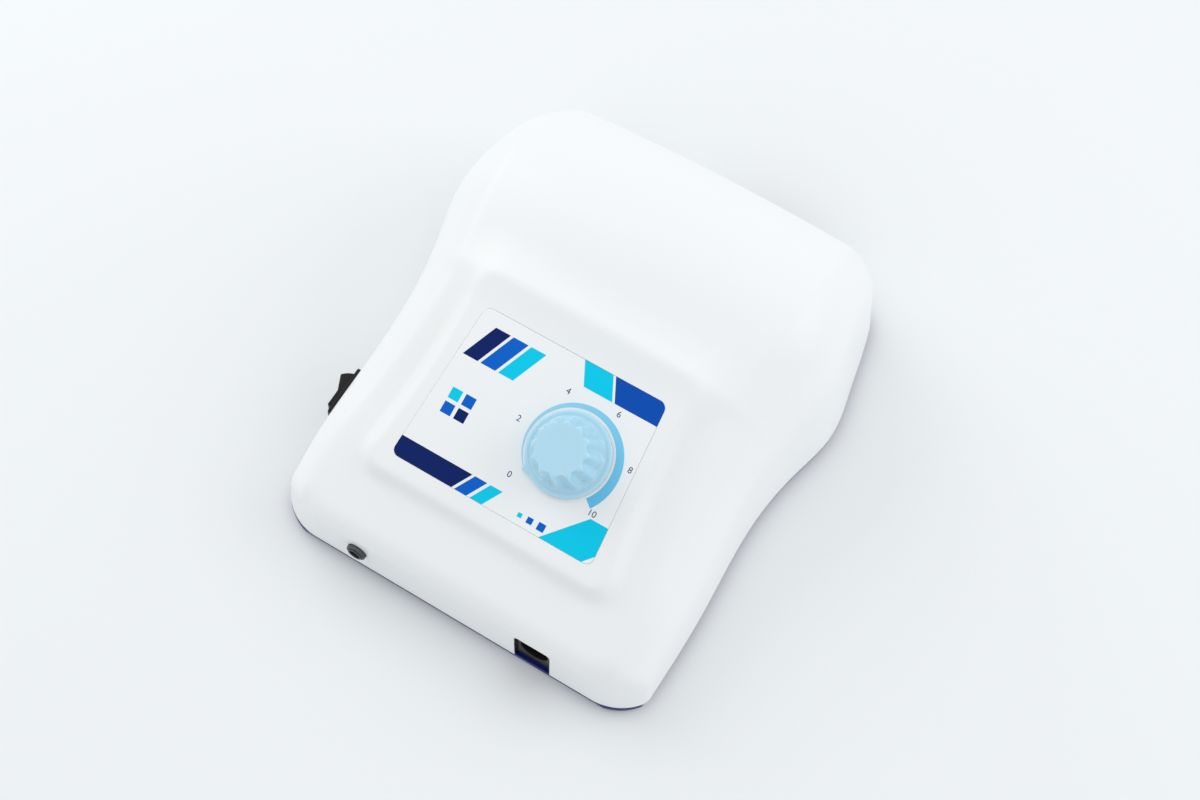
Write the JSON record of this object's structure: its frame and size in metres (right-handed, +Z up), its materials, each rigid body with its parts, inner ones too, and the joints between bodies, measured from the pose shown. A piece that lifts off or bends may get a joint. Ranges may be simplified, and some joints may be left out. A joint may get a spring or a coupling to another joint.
{
  "type": "dental lab micromotor",
  "caption": "Tabletop control box of a dental laboratory micromotor, with a sloping label and speed knob, rocker switch, pedal jack, handpiece socket and mains inlet.",
  "frame": {"origin": "middle of the footprint, on the surface that the box stands on", "axes": "+Z up, -Y the low front edge with the handpiece socket, +X to the right of someone facing the front"},
  "size_m": [0.1758, 0.2074, 0.0771],
  "materials": {
    "shell": "glossy white moulding",
    "base": "satin navy moulding",
    "rubber": "matt black rubber",
    "label": "printed film",
    "knob": "satin light blue moulding",
    "black": "satin black moulding",
    "steel": "bright steel",
    "nickel": "nickel plate",
    "tin": "tinned",
    "laminations": "varnished laminations",
    "bobbin": "matt natural nylon",
    "tape": "yellow winding tape",
    "board": "green solder mask",
    "can": "sleeved can",
    "anodised": "black anodised",
    "resist": "matt ceramic",
    "blue_box": "satin blue moulding",
    "green_box": "satin green moulding",
    "glass": "clear tube with metal ends"
  },
  "bodies": {
    "housing": {"upper_shell": "shell", "base_plate": "base", "rubber_feet": "rubber", "case_screws": "steel", "control_label": "label", "pot_body": "steel", "pot_bushing": "nickel", "pot_washer": "nickel", "pot_nut": "nickel", "pot_terminals": "tin", "switch_bezel": "black", "switch_terminals": "tin", "pedal_jack_body": "black", "pedal_jack_sleeve": "nickel", "pedal_jack_nut": "nickel", "handpiece_socket": "black", "handpiece_contacts": "nickel", "socket_board": "board", "mains_inlet": "black", "inlet_pins": "nickel", "inlet_screws": "steel", "inlet_nuts": "steel", "fuse_holder": "black", "fuse_holder_nut": "black", "transformer_core": "laminations", "transformer_bobbin": "bobbin", "transformer_coil": "tape", "transformer_clamp": "steel", "transformer_screws": "steel", "circuit_board": "board", "bridge_rectifier": "black", "filter_capacitors": "can", "heat_sink": "anodised", "power_transistor": "black", "transistor_screw": "steel", "terminal_blocks": "green_box", "control_ic": "black", "power_resistor": "resist", "relay": "blue_box", "trim_pot": "blue_box"},
    "knob": {"speed_knob": "knob", "pot_shaft": "steel"},
    "rocker": {"switch_rocker": "black"},
    "fuse_carrier": {"fuse_cap": "black", "mains_fuse": "glass"}
  },
  "joints": [
    {"name": "knob_turn", "type": "hinge", "parent": "housing", "child": "knob", "pos_m": [0.0159, -0.04074, 0.05624], "axis": [0, -0.3156, 0.9489], "range_deg": [-268, 0]},
    {"name": "rocker_tilt", "type": "hinge", "parent": "housing", "child": "rocker", "pos_m": [-0.07734, -0.05298, 0.02124], "axis": [0.1219, 0, 0.9925], "range_deg": [-24, 0]},
    {"name": "fuse_cap_turn", "type": "hinge", "parent": "housing", "child": "fuse_carrier", "pos_m": [-0.044, 0.09697, 0.01946], "axis": [0, 0.9976, 0.0698], "range_deg": [0, 60]}
  ]
}
